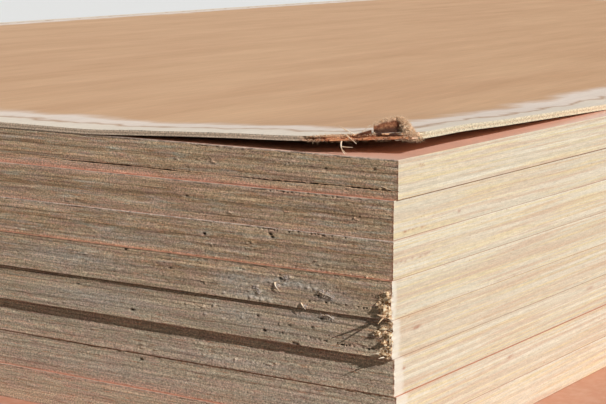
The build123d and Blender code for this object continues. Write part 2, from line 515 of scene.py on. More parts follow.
# Grey dust on the near ends: (distance, height, half length, half height, how thick)
END_STAINS = {
    3: [(38, 6, 14, 2, 0.4), (150, 5, 30, 3, 0.4)],
    4: [(56, 11, 22, 2.6, 0.9), (88, 9, 12, 3.6, 0.8), (76, 3, 20, 2, 0.8),
        (30, 6.5, 12, 3, 0.6), (190, 9, 40, 5, 0.7)],
    5: [(44, 14, 16, 3, 0.7), (86, 11, 16, 3.5, 0.7), (64, 5.5, 22, 2.2, 0.5),
        (170, 8, 40, 5, 0.6)],
    6: [(90, 4, 50, 3, 0.5)],
    7: [(40, 7, 40, 4, 0.5), (170, 7, 60, 4, 0.4)],
}


def spots(known, s, h, seed):
    """How strongly a few spots mark an edge: a bell for each, broken up by noise."""
    return bells(s, h, known) * (1.0 + 0.6 * grain(s, h, 1.3, 0.6, seed))


# The films on the near ends: how pale the cut of the upper one is, partly frayed film and partly a painted
# highlight where a proud film's edge and its raised fibres catch the light, how red the cut of the lower
# one is, and how pink the wood is beside the upper and beside the lower one
PALE_AND_LIT_FILMS = {1: 0.8, 2: 0.6, 3: 1, 8: 0.6}
RED_FILMS = {1: 1, 2: 0.8, 3: 1, 4: 0.15, 5: 0.1, 6: 0.5, 7: 1.0}
PINK_ABOVE = {2: 0.7, 3: 0.3, 8: 0.9}
PINK_BELOW = {1: 0.9, 2: 0.6, 3: 0.4, 6: 0.2, 7: 0.6}

# How far a pale, dusty patch reaches along the near sides from the corner
DUSTY_SIDES = {4: 4.5, 5: 7, 6: 9, 7: 11, 8: 12.5}


def film_tints(number, s, h):
    """How pink the wood is beside the films, exp(-distance / reach) from each, and how red the lower film's
    cut is, which fades along the edge."""
    above = PINK_ABOVE.get(number, 0) * np.exp(-(SHEET_THICKNESS - h) / 1.3)
    below = PINK_BELOW.get(number, 0) * np.exp(-h / 2.4)
    patches = 1.0 + 0.6 * grain(s, h, 12, 3, 465 + number)
    pink = (above + below) * np.clip(0.2 + s / 260, 0, 0.8) * patches
    red = RED_FILMS.get(number, 0.5) * (0.25 + 0.75 * np.exp(-s / 110))
    return unit(pink), red


# How deep the near corner of a badly chipped sheet is worn, and how far in an end leans
CHIPPED_ARRIS = {6: 0.5}
LEANS_IN = {6: 0.4}


def plywood_sheet(name, number):
    """One sheet as a closed skin: the edge's profile carried once round the sheet from its far corner, each
    point moved out by its relief less its marks, and a flat film above and below."""
    low, high = (np.array(c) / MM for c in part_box(name))
    length, width, thickness = high - low
    near_end = spread(width, END_SPACING)
    near_side = spread(length, SIDE_SPACING)
    far_side = np.arange(FAR_SPACING, length, FAR_SPACING)
    far_end = np.arange(FAR_SPACING, width, FAR_SPACING)
    path = np.array([-width - length, *(-width - far_side[::-1]), *(-near_end[::-1]), *near_side[1:],
                     *(length + far_end)])
    x = np.where(path < 0, np.clip(-path - width, 0, length), np.clip(path, 0, length))
    y = np.where(path < 0, np.clip(-path, 0, width), np.clip(path - length, 0, width))
    out_x = (x >= length).astype(float) - (x <= 0)
    out_y = (y >= width).astype(float) - (y <= 0)
    is_near_end = ((x <= 0) & (y < width))[:, None]
    is_near_side = ((y <= 0) & (x < length))[:, None]
    is_near_corner = ((x <= 0) & (y <= 0))[:, None]

    rows = plywood_rows(CRACK_ROWS if number == 1 else ())
    s, h = np.meshgrid(np.abs(path), rows, indexing="ij")
    ply = np.clip(rows * PLIES / thickness, 0, PLIES - 0.001)
    ply_index = np.broadcast_to(np.floor(ply).astype(int), h.shape)
    fade = np.clip(2.5 / np.abs(np.gradient(path))[:, None], 0.15, 1)

    marks = end_marks(number, s, h) * is_near_end * (fade > 0.9)
    torn = crushed(number, s, h) * is_near_end
    lump = grain(s, h, 2.3, 1.9, 390 + number) + 0.4 * grain(s, h, 1, 0.8, 400 + number)
    chunks = 0.55 * np.tanh(1.5 * lump) - 0.1 - pits(s, h, TORN_HOLLOWS.get(number, []), 1.1, 0.9)
    crumbs = 0.7 * pits(s, h, CRUMBS.get(number, []), 0.75, 0.5) * is_near_end
    rounded = 0.14 * unit(1.0 - np.minimum(h, thickness - h) / 0.16)
    chipped = unit(1.6 * grain(0, h, 1, 1.1, 440 + number)) * np.exp(-s / 0.9)
    rounded = rounded + CHIPPED_ARRIS.get(number, 0.22) * chipped * is_near_end
    end_out = end_relief(s, h, ply_index, fade, number) - marks + crumbs + torn * chunks
    end_out = end_out - is_near_end * LEANS_IN.get(number, 0) - rounded
    bite_depth = 0.35 + 0.6 * grain(0, h, 1, 1.3, 410 + number)
    bite = crushed(number, s * 5, h) * bite_depth * is_near_side
    corner_bite = crushed(number, 0, h) * (0.45 + 0.6 * grain(0, h, 1, 1.3, 420 + number))
    side_out = side_relief(s, h, ply_index, fade, number) - 0.9 * bite - rounded
    side_out = np.where(is_near_corner, side_out - corner_bite, side_out)
    lift = np.sin(np.pi * h / thickness) * 0.3 * grain(path[:, None], h, 70, 5, 300 + number)

    points = np.empty((len(path), len(rows) + 2, 3))
    points[:, 1:-1, 0] = x[:, None] + out_x[:, None] * end_out
    points[:, 1:-1, 1] = y[:, None] + out_y[:, None] * side_out
    points[:, 1:-1, 2] = h + lift
    for row, level in ((0, 0), (-1, thickness)):
        points[:, row, 0] = np.clip(x, FILM_RING, length - FILM_RING)
        points[:, row, 1] = np.clip(y, FILM_RING, width - FILM_RING)
        points[:, row, 2] = level

    columns, levels = points.shape[:2]
    index = np.arange(columns * levels).reshape(columns, levels)
    faces = wrap(index).tolist() + [index[::-1, 0].tolist(), index[:, -1].tolist()]
    kinds = np.full((columns, levels - 1), CLEAN)
    on_end = (np.minimum(x, np.roll(x, -1)) >= length) | (np.maximum(x, np.roll(x, -1)) <= 0)
    kinds[on_end] = WEATHERED
    kinds[:, [0, -1]] = FILM

    def over_rows(values, most=1):
        """A number for the points of the edge, with nothing at the films' inner rings."""
        full = np.zeros((columns, levels))
        full[:, 1:-1] = np.clip(values, 0, most)
        return full.ravel()

    spot = spots(SIDE_SPOTS.get(number, []), s, h, 450 + number) * is_near_side
    spot = spot + 0.75 * spots(END_STAINS.get(number, []), s, h, 455 + number) * is_near_end
    pink, red = film_tints(number, s, h)
    dusty = (DUSTY_SIDES.get(number, 0) + 1.2 * grain(s, h, 3, 2, 475) - s) / 2.5
    skin = Skin()
    skin.add(
        points + low,
        faces,
        [*kinds.ravel(), FILM, FILM],
        ply=np.broadcast_to(np.concatenate([[0], ply, [PLIES]]), (columns, levels)).ravel(),
        pale=PALE_AND_LIT_FILMS.get(number, 0),
        red=over_rows(red * np.where(is_near_end, 1, 0.6)),
        pink=over_rows(pink * is_near_end),
        dusty=over_rows(0.6 * unit(dusty) * is_near_side),
        # Painted shade: the pits, pores, nicks and split are darkened by their depth
        hollow=over_rows(marks / 0.8),
        torn=over_rows(torn + bite),
        spot=over_rows(spot),
        arris=over_rows(np.exp(-((s / 0.9) ** 2)) * is_near_end),
        crumb=over_rows(0.8 * crumbs, 0.6),
    )
    return skin, low


# The resin film: smooth, red-brown, dusty, with a satin shine at a low angle, and laid paler on the top sheet
# as painted light
film = Finish("resin_film", 0.42)
film.colour = film.ramp(film.noise((60, 60, 60), 4), (0.3, (202, 138, 110)), (0.7, (212, 152, 124)))
film.lay(film.patches((9, 9, 9), 5, 0.6, 0.45, 0.75, 0.5), 226, 184, 164)
# Painted light: the top sheet's upper film is laid paler. This stands in for the sky's sheen on it at a low
# angle and for light that the cover keeps off it.
painted_light_on_top = film.node("ShaderNodeMapRange", i0=film.height(), i1=0.150, i2=0.160).outputs[0]
film.lay(film.sum("MULTIPLY", painted_light_on_top, 0.85), 238, 193, 170)
film.into(film.ramp(film.noise((25, 25, 25), 3), (0.3, 0.38), (0.7, 0.6)), "Roughness")
film.done(film.noise((1.2, 0.5, 1), 3), 0.02)


def edge_frame(finish, ply):
    """What both kinds of edge need: how far up its ply a point is, a tone for each ply of each sheet, and
    whether it is on the lower film's cut."""
    share = finish.sum("FRACT", ply, 0)
    sheet = finish.sum("FLOOR", finish.sum("DIVIDE", finish.height(), SHEET_THICKNESS * MM), 0)
    label = finish.sum("ADD", finish.sum("MULTIPLY", sheet, 37), finish.sum("FLOOR", ply, 0))
    tone = finish.node("ShaderNodeTexWhiteNoise", {"noise_dimensions": "1D"}, W=label).outputs["Value"]
    lower_film = finish.ramp(ply, (0.13, 1), (0.20, 0))
    return share, tone, lower_film


def clean_sawn_edge():
    """The sides: fresh cream softwood, with yellow and pinkish streaks along the plies."""
    edge = Finish("clean_sawn_edge", 0.75)
    share, tone, lower_film = edge_frame(edge, edge.attribute("ply"))
    edge.colour = edge.ramp(tone, (0, (213, 198, 173)), (0.45, (229, 217, 194)), (1, (213, 192, 165)))
    edge.lay(edge.patches((90, 90, 1), 3, 0.55, 0.50, 0.62, 0.65), 229, 205, 154)
    edge.lay(edge.patches((120, 120, 1.8), 3, 0.55, 0.50, 0.62, 0.7, (3, 3, 0.4)), 210, 178, 150)
    edge.lay(edge.ramp(share, (0, 0.2), (0.09, 0), (0.91, 0), (1, 0.2)), 205, 170, 132)
    edge.lay(edge.patches((2.6, 2.6, 0.8), 1, 0.5, 0.72, 0.80, 0.6, (7, 1, 0)), 176, 130, 98)
    edge.shade(edge.noise((9, 9, 0.5), 3, 0.7), (0.25, 0.80), (0.75, 1.16))
    edge.shade(edge.noise((1.4, 1.4, 0.7), 3, 0.75), (0.25, 0.86), (0.75, 1.10))
    edge.lay(edge.attribute("spot"), 172, 112, 88)
    edge.lay(lower_film, 176, 128, 100)
    edge.lay(edge.attribute("dusty"), 238, 228, 212)
    return edge.done(edge.noise((6, 6, 0.4), 4, 0.7), 0.05)


def weathered_sawn_edge():
    """The ends: the same wood after weather, browned and greyed in streaks, with rust, rosy patches, dark
    glue lines, fur that catches the light, and the cuts of the two films, the upper one's pale in part as a
    painted highlight. Its pits, pores, nicks and split are darkened with painted shade."""
    edge = Finish("weathered_sawn_edge", 0.85)
    ply = edge.attribute("ply")
    share, tone, lower_film = edge_frame(edge, ply)
    edge.colour = edge.ramp(tone, (0, (236, 198, 156)), (0.5, (222, 194, 158)), (1, (192, 156, 118)))
    edge.lay(edge.patches((48, 48, 1.1), 4, 0.6, 0.46, 0.64, 0.72), 160, 120, 88)
    low_down = edge.node("ShaderNodeMapRange", i0=edge.height(), i1=0.112, i2=0.066).outputs[0]
    grey = edge.patches((20, 20, 1.6), 3, 0.6, 0.52, 0.70, 0.75, (0, 5, 1))
    edge.lay(edge.sum("MAXIMUM", grey, edge.sum("MULTIPLY", low_down, 0.5)), 212, 206, 184)
    edge.lay(edge.patches((9, 9, 0.5), 3, 0.6, 0.54, 0.68, 0.75, (2, 0, 3)), 204, 142, 104)
    edge.lay(edge.patches((14, 14, 2.2), 2, 0.6, 0.46, 0.62, 0.3, (0, 1, 9)), 216, 168, 158)
    edge.lay(edge.ramp(share, (0, 0.4), (0.13, 0), (0.87, 0), (1, 0.4)), 138, 104, 76)
    edge.lay(edge.attribute("pink"), 244, 190, 166)
    edge.lay(edge.attribute("spot"), 212, 202, 188)
    edge.shade(edge.noise((60, 60, 1.15), 3, 0.55), (0.3, 0.70), (0.5, 1), (0.7, 1.30))
    edge.shade(edge.noise((0.95, 0.95, 0.7), 3, 0.75), (0.26, 0.30), (0.5, 1), (0.74, 1.85))
    edge.lay(edge.attribute("crumb"), 226, 216, 210)
    # Painted shade in the pits, pores, nicks and split
    edge.lay(edge.attribute("hollow"), 52, 40, 34)

    fresh = edge.ramp(edge.noise((1.4, 1.4, 1), 3), (0.36, (160, 110, 72)), (0.50, (230, 192, 146)),
                      (0.64, (252, 232, 198)))
    edge.colour = edge.mix(edge.attribute("torn"), edge.colour, fresh)
    arris_patches = edge.ramp(edge.noise((2, 2, 2), 2), (0.35, 0.4), (0.6, 1))
    edge.lay(edge.sum("MULTIPLY", edge.attribute("arris"), arris_patches), 150, 84, 56)

    cut = edge.noise((3, 3, 4), 3, 0.7)
    # Partly painted highlight: the upper film's cut is laid pale where a proud film's edge catches the light,
    # and partly frayed pale film
    pale_and_lit_cut = edge.mix(edge.attribute("pale"), paint(172, 136, 106), paint(248, 220, 198))
    pale_and_lit_cut = edge.mix(1, pale_and_lit_cut, edge.ramp(cut, (0.38, 0.55), (0.58, 1.1)), "MULTIPLY")
    ragged = edge.sum("MULTIPLY", edge.noise((2.2, 2.2, 9), 4, 0.75), 0.7)
    over_last_ply = edge.sum("SUBTRACT", ply, PLIES - 1)
    upper_film = edge.ramp(edge.sum("ADD", over_last_ply, ragged), (0.96, 0), (0.99, 1))
    edge.colour = edge.mix(upper_film, edge.colour, pale_and_lit_cut)
    red_cut = edge.ramp(cut, (0.4, (194, 124, 98)), (0.6, (232, 168, 140)))
    lower_film = edge.sum("MULTIPLY", lower_film, edge.attribute("red"))
    edge.colour = edge.mix(lower_film, edge.colour, red_cut)
    return edge.done(edge.noise((0.75, 0.75, 0.55), 4, 0.75), 0.30)


# Loose fibre of broken wood, pale where it is fresh
fibre = Finish("loose_fibre", 0.8)
fibre.colour = fibre.ramp(fibre.noise((2.5, 2.5, 2.5), 2), (0.35, (240, 206, 166)), (0.6, (255, 240, 216)))
fibre.done()

# The sheets' materials, and their numbers
SHEET_FINISHES = (film, clean_sawn_edge(), weathered_sawn_edge(), fibre)
FILM, CLEAN, WEATHERED, LOOSE = range(4)

skin, low = plywood_sheet("base_sheet", 9)
skin.put("base_sheet_skin", SHEET_FINISHES, "base_sheet")


def on_end(s, h, out):
    """A place on a sheet's near end, from the sheet's own low corner: s along it, h up it and out from it."""
    return np.stack(np.broadcast_arrays(-np.asarray(out, dtype=float), s, h), axis=-1)


# Where loose wood takes its colour from, counted in plies, and how many hairs a tuft and a torn corner have
MIDDLE_PLY = 5.5
FLUFF_HAIRS = 70
TORN_HAIRS = 160


def splinter(skin, low, bends, half_width, half_thick, kind=LOOSE):
    """A splinter or curled shaving: a tapered tube along the curve of three places (s, h, out)."""
    first, middle, last = (on_end(*bend) + low for bend in bends)
    taper = np.clip(1.3 - np.linspace(-0.1, 1, 9), 0.12, 1)
    tube = strands(bow(first, middle, last, 9)[None], half_width * taper, half_thick * taper, 6)
    skin.add(*tube, kind, ply=MIDDLE_PLY, torn=0.5)


def lump_of_wood(skin, low, place, seed):
    """A broken lump on a near end: a ball squashed to its half sizes, its radius 1 + noise, in facets."""
    at_s, at_h, out, half_length, half_height, half_depth = place
    around = np.linspace(0, 2 * np.pi, 10, endpoint=False)[:, None]
    across = np.linspace(0.05, np.pi - 0.05, 7)[None]
    x, y, z = np.cos(around) * np.sin(across), np.sin(around) * np.sin(across), np.cos(across) + 0.0 * around
    radius = 1.0 + 0.45 * grain(3.0 * x + 9, 3.0 * y + 3.0 * z + 9, 1.1, 1.1, seed)
    radius += 0.25 * grain(6.0 * x + 9, 5.0 * z - 4.0 * y + 9, 1, 1, seed + 1)
    points = on_end(at_s + half_length * radius * x, at_h + half_height * radius * z,
                    out + half_depth * radius * y)
    index = np.arange(x.size).reshape(x.shape)
    faces = wrap(index)[:, ::-1].tolist() + [index[:, 0].tolist(), index[::-1, -1].tolist()]
    skin.add(points + low, faces, WEATHERED, ply=MIDDLE_PLY, torn=0.95)


def fluff(skin, low, place, seed):
    """A little tuft of grey fur at a place (s, h) on a near end, lying along it and curling off."""
    draw = np.random.default_rng(seed)
    count = FLUFF_HAIRS
    at_s, at_h = place
    beside = 0.75 * draw.normal(size=count)
    above = 0.4 * draw.normal(size=count)
    roots = on_end(at_s + beside, at_h + above, np.zeros(count)) + low
    lengths = draw.uniform(0.4, 1, count) * 0.75
    wide, thick = np.linspace(0.17, 0.08, 4), np.linspace(0.14, 0.06, 4)
    hairs(skin, roots, (-0.3, -0.9, -0.2), lengths, seed, 0.45, 0.5, wide, thick, 4, WEATHERED,
          ply=MIDDLE_PLY, crumb=0.7)


def torn_fur(skin, low, number, top):
    """Short pale fibres all over a crushed corner, up to a height."""
    draw = np.random.default_rng(number)
    count = TORN_HAIRS
    at_s, at_h = draw.uniform(0.2, 7, count), draw.uniform(0.2, top, count)
    roots = on_end(at_s, at_h, draw.uniform(0, 0.6, count)) + low
    lengths = draw.uniform(0.3, 0.8, count)
    wide, thick = np.linspace(0.10, 0.04, 4), np.linspace(0.08, 0.03, 4)
    hairs(skin, roots, (-0.6, -0.3, 0), lengths, number, 0.7, 0.6, wide, thick, 3, LOOSE)


# Splinters and curled shavings on the near ends, each through three places (s, h, out) and with its half
# width and half thickness, and places (s, h) for tufts of fur
SPLINTERS = {
    1: [(((9, 5.6, 0), (4.5, 5, 0.9), (1.4, 3.7, 0.3)), 0.22, 0.12)],
    4: [(((63.2, 10.6, 0), (62.5, 8.5, 1.3), (59.8, 6.6, 0.5)), 0.34, 0.2),
        (((39.6, 7.6, 0), (37.8, 10.2, 1.5), (35.6, 8.2, 1)), 0.3, 0.22),
        (((35.8, 8.3, 0.6), (33.8, 8.6, 1.5), (31.2, 6.9, 0.3)), 0.3, 0.2),
        (((48.5, 2.6, 0), (47, 1.5, 1.2), (45.6, -0.2, 0.8)), 0.35, 0.2),
        (((3.4, 12.6, 0), (3, 13.6, 1.2), (2.8, 13.1, 2.3)), 0.3, 0.2),
        (((3.2, 1.6, 0), (3.1, 2.6, 3.8), (3, 4.2, 7.8)), 0.85, 0.62, WEATHERED),
        (((3.6, 2, 0), (3.3, 1.4, 3.5), (3, -0.2, 7)), 0.55, 0.42, WEATHERED),
        (((2.6, 1.6, 0.4), (0.4, 1.3, 1.6), (-1.6, 0.7, 1.4)), 0.34, 0.26),
        (((2.2, 0.7, 0.3), (0.2, 0.5, 1.2), (-1, 0, 1.3)), 0.28, 0.22)],
    5: [(((39.4, 14.8, 0), (37.4, 17, 1.4), (35.2, 16, 1)), 0.3, 0.2),
        (((35.4, 16.2, 0.8), (33, 16.8, 1.4), (31, 14.6, 0.4)), 0.3, 0.2),
        (((5.6, 2.6, 0.3), (8.6, 2.2, 1.6), (11.4, 1, 1)), 0.4, 0.3),
        (((4, 0.8, 0), (4.4, 1.2, 2.4), (4.7, 1, 4.6)), 0.42, 0.3),
        (((10.4, 10.4, 0.2), (9.6, 11.2, 1.4), (8.6, 10.6, 2)), 0.3, 0.2)],
}
FLUFF = {
    4: [(37.5, 9.2), (34.5, 8.4), (32, 7.2), (47.2, 1.2), (74, 7), (72.4, 5), (62, 9.2),
        (57, 13.6)],
    5: [(37, 15.8), (34.6, 16.2), (32.2, 15.4)],
}

for number in range(1, 9):
    name = f"sheet_{number}"
    skin, low = plywood_sheet(name, number)
    for set_splinter in SPLINTERS.get(number, []):
        splinter(skin, low, *set_splinter)
    for order, place in enumerate(TORN_LUMPS.get(number, [])):
        lump_of_wood(skin, low, place, 460 + 20 * number + order)
    for order, place in enumerate(FLUFF.get(number, [])):
        fluff(skin, low, place, 800 + 20 * number + order)
    if number in TORN_LUMPS:
        torn_fur(skin, low, number, TORN_TOP_IN_FOURTH if number == 4 else SHEET_THICKNESS)
    skin.put(name + "_skin", SHEET_FINISHES, name)


# The cover: one thin sheet of weathered three-ply with no film, laid askew on the stack. Its near corner is
# broken off and has lifted, its top veneer there is peeled up into a furry flap, and its rims are bleached.
COVER_LENGTH = 1830.0
COVER_WIDTH = 915.0
COVER_THICKNESS = 3.0
COVER_SKEW = radians(3.4)
COVER_CORNER = np.array([12.2, -3.4])
END_PAST_CORNER = 11.1
BREAK_ALONG_END = 41.0
BREAK_START = np.array([6.8, 0])
BREAK_END = np.array([BREAK_ALONG_END * np.tan(COVER_SKEW) - END_PAST_CORNER, BREAK_ALONG_END])
LIFT_ALONG_SIDE = 258.0
LIFT_ALONG_END = 181.0
LIFT_SLOPE = radians(3.15)
LIFT_BEND_RADIUS = 400.0
EDGE_ROWS = 14
GRID_SPACING = 0.5
GRID_GROWTH = 0.075
FRAY_ENDS = 40
ALONG_COVER = -COVER_SKEW

# Its materials, by number
FACE, SAWN_RIM, WORN_RIM, PEELED, SPLINTERED = range(5)

stack_corner = np.array(corner) / MM
break_length = float(np.hypot(*(BREAK_END - BREAK_START)))
along_break = (BREAK_END - BREAK_START) / break_length
out_of_break = np.array([-along_break[1], along_break[0]])


def rim_bell(height, middle, half, reach, along, inward):
    """A bell along a rim that dies away inward: height exp(-((along - middle) / half)^2 - inward / reach)."""
    return height * np.exp(-((along - middle) / half) ** 2 - np.maximum(inward, 0) / reach)


def cover_lift(u, v):
    """Height of the cover's underside over the stack: flat, then an arc R - (R^2 - d^2)^0.5, then a straight
    slope to the corner, with one bell of sag at the end's rim and one of bow at the side's."""
    foot = np.hypot(LIFT_ALONG_SIDE, LIFT_ALONG_END)
    beyond = (LIFT_ALONG_SIDE * LIFT_ALONG_END - LIFT_ALONG_END * u - LIFT_ALONG_SIDE * v) / foot
    half = LIFT_BEND_RADIUS * LIFT_SLOPE / 2
    into_bend = np.clip(beyond + half, 0, LIFT_BEND_RADIUS * np.sin(LIFT_SLOPE))
    arc = LIFT_BEND_RADIUS - np.sqrt(LIFT_BEND_RADIUS ** 2 - into_bend ** 2)
    slope = np.tan(LIFT_SLOPE) * np.maximum(beyond + half - LIFT_BEND_RADIUS * np.sin(LIFT_SLOPE), 0)
    return arc + slope - rim_bell(0.8, 55, 38, 60, v, u) + rim_bell(0.5, 52, 28, 40, u, v)


def turned(across, down, start=(0, 0)):
    """Distances along the cover's side and end as X and Y from a start, by the skew's cosine and sine."""
    cosine, sine = np.cos(COVER_SKEW), np.sin(COVER_SKEW)
    return start[0] + across * cosine - down * sine, start[1] + across * sine + down * cosine


def cover_place(u, v, up):
    """A place of the cover, u along its side and v along its end, up over its underside, on the stack."""
    x, y = turned(u, v, COVER_CORNER)
    return np.stack(np.broadcast_arrays(x, y, cover_lift(u, v) + up), axis=-1) + stack_corner


def at_break(along, out, up):
    """A place at the broken corner: along the break from the side, out of it, up over the underside."""
    flat = BREAK_START + np.multiply.outer(along, along_break) + np.multiply.outer(out, out_of_break)
    return cover_place(flat[..., 0], flat[..., 1], up)


def fray(along, up, seed):
    """How far the rim of a broken edge stands out: a sum of coarse noise along it, each veneer's on its own,
    fine noise, and a step from the lowest veneer to the others."""
    veneer = np.floor(np.clip(up, 0, COVER_THICKNESS - 0.01))
    coarse = grain(along, veneer * 5, 3.2, 1, seed)
    fine = grain(along, up, 0.9, 0.5, seed + 1)
    return 0.8 * coarse + 0.6 * fine + 0.5 * np.where(veneer == 0, 1, -0.5)


def rim_jag(along, up, seed, level):
    """The rim's unevenness, at a level from 0 for worn to 1 for broken: level fray + worn noise + teeth of
    torn grain on its lower part that fade out as exp(-distance / 120)."""
    teeth = 0.35 * unit(wave(along, 1.1, seed + 3) + 0.3) * np.exp(-along / 120)
    worn = 0.08 * grain(along, up, 1.6, 0.6, seed + 2) + teeth * unit(1.0 - up / 0.9)
    return level * fray(along, up, seed) + worn


def beside_break(v, reach, over):
    """From 1 along the break to 0 at a reach past its far end: (end + reach - v) / over, cut to 0 and 1."""
    return unit((BREAK_ALONG_END + reach - v) / over)


def end_jag(v, up):
    """The unevenness of the near end's rim, broken to a little past the break and worn from there."""
    return rim_jag(v, up, 610, beside_break(v, 14, 6))


def side_jag(u, up):
    """The unevenness of the near side's rim, broken beside the corner and sawn from there."""
    return rim_jag(u, up, 620, unit((14.0 - u) / 8))


u_lines = spread(COVER_LENGTH, GRID_SPACING, 32, GRID_GROWTH, 45)
v_lines = spread(COVER_WIDTH, GRID_SPACING, 50, GRID_GROWTH, 30)
u, v = np.meshgrid(u_lines, v_lines, indexing="ij")
end_at_far_side = COVER_WIDTH * np.tan(COVER_SKEW) - END_PAST_CORNER
end_line = np.interp(v, [0, BREAK_ALONG_END, COVER_WIDTH], [BREAK_START[0], BREAK_END[0], end_at_far_side])
u = u + end_line * unit(1 - u / 400) ** 2
from_end = u_lines[:, None]


def cover_surface(up):
    """One face of the cover as a grid of places. Its near rims are pulled about by their jags times
    exp(-distance / 1.6), and its upper face has a ripple, a fuzz near the rims and a worn arris."""
    across = u - end_jag(v, up) * np.exp(-from_end / 1.6)
    down = v - side_jag(u, up) * np.exp(-v / 1.6)
    ripple = 0.16 * grain(u, v, 60, 22, 630) + 0.05 * grain(u, v, 14, 1.6, 631)
    fuzz = 0.05 * grain(u, v, 1.4, 0.9, 632) * np.exp(-np.minimum(from_end, v) / 25)
    worn_arris = 0.55 * np.exp(-((from_end / 0.7) ** 2)) * unit((v - 40) / 10)
    shaped = (ripple + fuzz - worn_arris) * (up > 0)
    return cover_place(across, down, up + shaped)


def grid_faces(rows, columns):
    """The faces of a grid of numbered points, and the loop of points round its rim."""
    number = np.arange(rows * columns).reshape(rows, columns)
    faces = np.stack([number[:-1, :-1], number[1:, :-1], number[1:, 1:], number[:-1, 1:]], axis=-1)
    rim = np.concatenate([number[:-1, 0], number[-1, :-1], number[:0:-1, -1], number[0, :0:-1]])
    return faces.reshape(-1, 4), rim


# Its wall, from the lower face's rim to the upper one's: torn along the near end, where a short crack opens
# between two veneers, and jagged along the near side
top = cover_surface(COVER_THICKNESS)
under = cover_surface(0)
squares, ring = grid_faces(*u.shape)
ring_u, ring_v = u.ravel()[ring], v.ravel()[ring]
on_near_end = (ring < len(v_lines)) & (ring_u < FRAY_ENDS)
on_near_side = (ring_v == 0) & ~on_near_end
levels = np.linspace(0, 1, EDGE_ROWS)[1:-1]
wall_up = levels[None] * COVER_THICKNESS
ring_top, ring_under = top.reshape(-1, 3)[ring], under.reshape(-1, 3)[ring]
wall = ring_under[:, None] * (1 - levels[:, None]) + ring_top[:, None] * levels[:, None]
straight = 0.5 * (end_jag(ring_v, 0) + end_jag(ring_v, COVER_THICKNESS))
rim_crack = 1.6 * np.exp(-(((wall_up - 1.65) / 0.38) ** 2)) * unit((ring_v - 7) / 2)[:, None]
rim_crack = rim_crack * unit((23.0 - ring_v) / 2)[:, None]
end_out = end_jag(ring_v[:, None], wall_up) - straight[:, None] - rim_crack
end_out = np.where(on_near_end[:, None], end_out, 0)
side_out = np.where(on_near_side[:, None], 0.6 * side_jag(ring_u[:, None], wall_up), 0)
wall[..., :2] += np.stack(turned(-end_out, -side_out), axis=-1)

total = u.size
wall_index = 2 * total + np.arange(wall[..., 0].size).reshape(wall.shape[:2])
wall_faces = wrap(np.concatenate([(ring + total)[:, None], wall_index, ring[:, None]], axis=1))
wall_kind = np.where(on_near_side | (ring_v < 2.5) | (ring_v > COVER_WIDTH - 1), SAWN_RIM, WORN_RIM)
margin = np.minimum(np.minimum(u - end_line, COVER_LENGTH - u), np.minimum(v, COVER_WIDTH - v)).ravel()
wall_level = np.broadcast_to(wall_up, wall.shape[:2]).ravel()
broken_wall = np.where(on_near_end, beside_break(ring_v, 16, 8) * unit((ring_v - 1.5) / 4), 0)
broken_rim = (np.exp(-np.minimum(from_end, 99) / 2) * beside_break(v, 16, 8)).ravel()
cover = Skin()
cover.add(
    np.concatenate([top.reshape(-1, 3), under.reshape(-1, 3), wall.reshape(-1, 3)]),
    squares.tolist() + (squares[:, ::-1] + total).tolist() + wall_faces.tolist(),
    np.concatenate([np.full(2 * len(squares), FACE), np.repeat(wall_kind, len(levels) + 1)]),
    margin=np.concatenate([margin, margin, np.zeros(wall_level.size)]),
    veneer=np.concatenate([np.full(total, COVER_THICKNESS), np.zeros(total), wall_level]) / COVER_THICKNESS,
    broken=np.concatenate([broken_rim, broken_rim, np.repeat(broken_wall, len(levels))]),
)


def sheet_of(middle, thickness):
    """A closed thin shell about a grid of places: each is moved to either side by half the thickness, along
    the cross product of the grid's two directions, and walls join the rims."""
    normal = np.cross(np.gradient(middle, axis=0), np.gradient(middle, axis=1))
    normal /= np.linalg.norm(normal, axis=2, keepdims=True)
    half = 0.5 * np.asarray(thickness)[..., None] * normal
    front, rim = grid_faces(*middle.shape[:2])
    count = middle[..., 0].size
    points = np.concatenate([(middle + half).reshape(-1, 3), (middle - half).reshape(-1, 3)])
    walls = wrap(np.stack([rim + count, rim], axis=1))
    return points, front.tolist() + (front[:, ::-1] + count).tolist() + walls.tolist()


# The peeled flap: its profile from the root, back round the bowl and up to the furry lip, as places out of
# the break and shares of its height, which varies along the break
FLAP_FROM = 4.2
FLAP_TO = 22.6
FLAP_OUT = (-0.2, -2, -3.2, -3.2, -3, -2.9, -2.9, -2.9, -2.5)
FLAP_SHARE = (-0.12, -0.08, 0.04, 0.20, 0.38, 0.56, 0.74, 0.90, 1)
FLAP_PLACES = (0, 0.1, 0.22, 0.36, 0.5, 0.66, 0.84, 1)
FLAP_HEIGHTS = (0.5, 2.7, 5.5, 6.7, 6.9, 6.3, 5.1, 4.2)
FLAP_COLUMNS = 72
FLAP_ROWS = 40
p, q = np.meshgrid(np.linspace(0, 1, FLAP_COLUMNS), np.linspace(0, 1, FLAP_ROWS), indexing="ij")
knots = np.linspace(0, 1, len(FLAP_OUT))
height = np.interp(p, FLAP_PLACES, FLAP_HEIGHTS) * (1 + 0.07 * wave(p, 0.07, 701))
share_up = np.interp(q, knots, FLAP_SHARE)
forward = 1.6 * unit(1.0 - p / 0.36) ** 1.5 * unit(share_up * 3)
flap_out = np.interp(q, knots, FLAP_OUT) * unit(0.5 + 0.14 * height) + forward
flap_out = flap_out + 0.22 * grain(p, q, 0.10, 0.20, 702) + 0.12 * grain(p, q, 0.03, 0.08, 703)
flap_up = COVER_THICKNESS + share_up * height + 0.2 * grain(p, q, 0.06, 0.15, 704) * unit(share_up * 3)
flap_along = FLAP_FROM + (FLAP_TO - FLAP_FROM) * p
flap_thickness = 0.8 - 0.4 * unit(share_up)
fresh = np.clip(0.95 * unit((0.40 - p) / 0.16) + 0.75 * unit((q - 0.72) / 0.16), 0, 0.9)
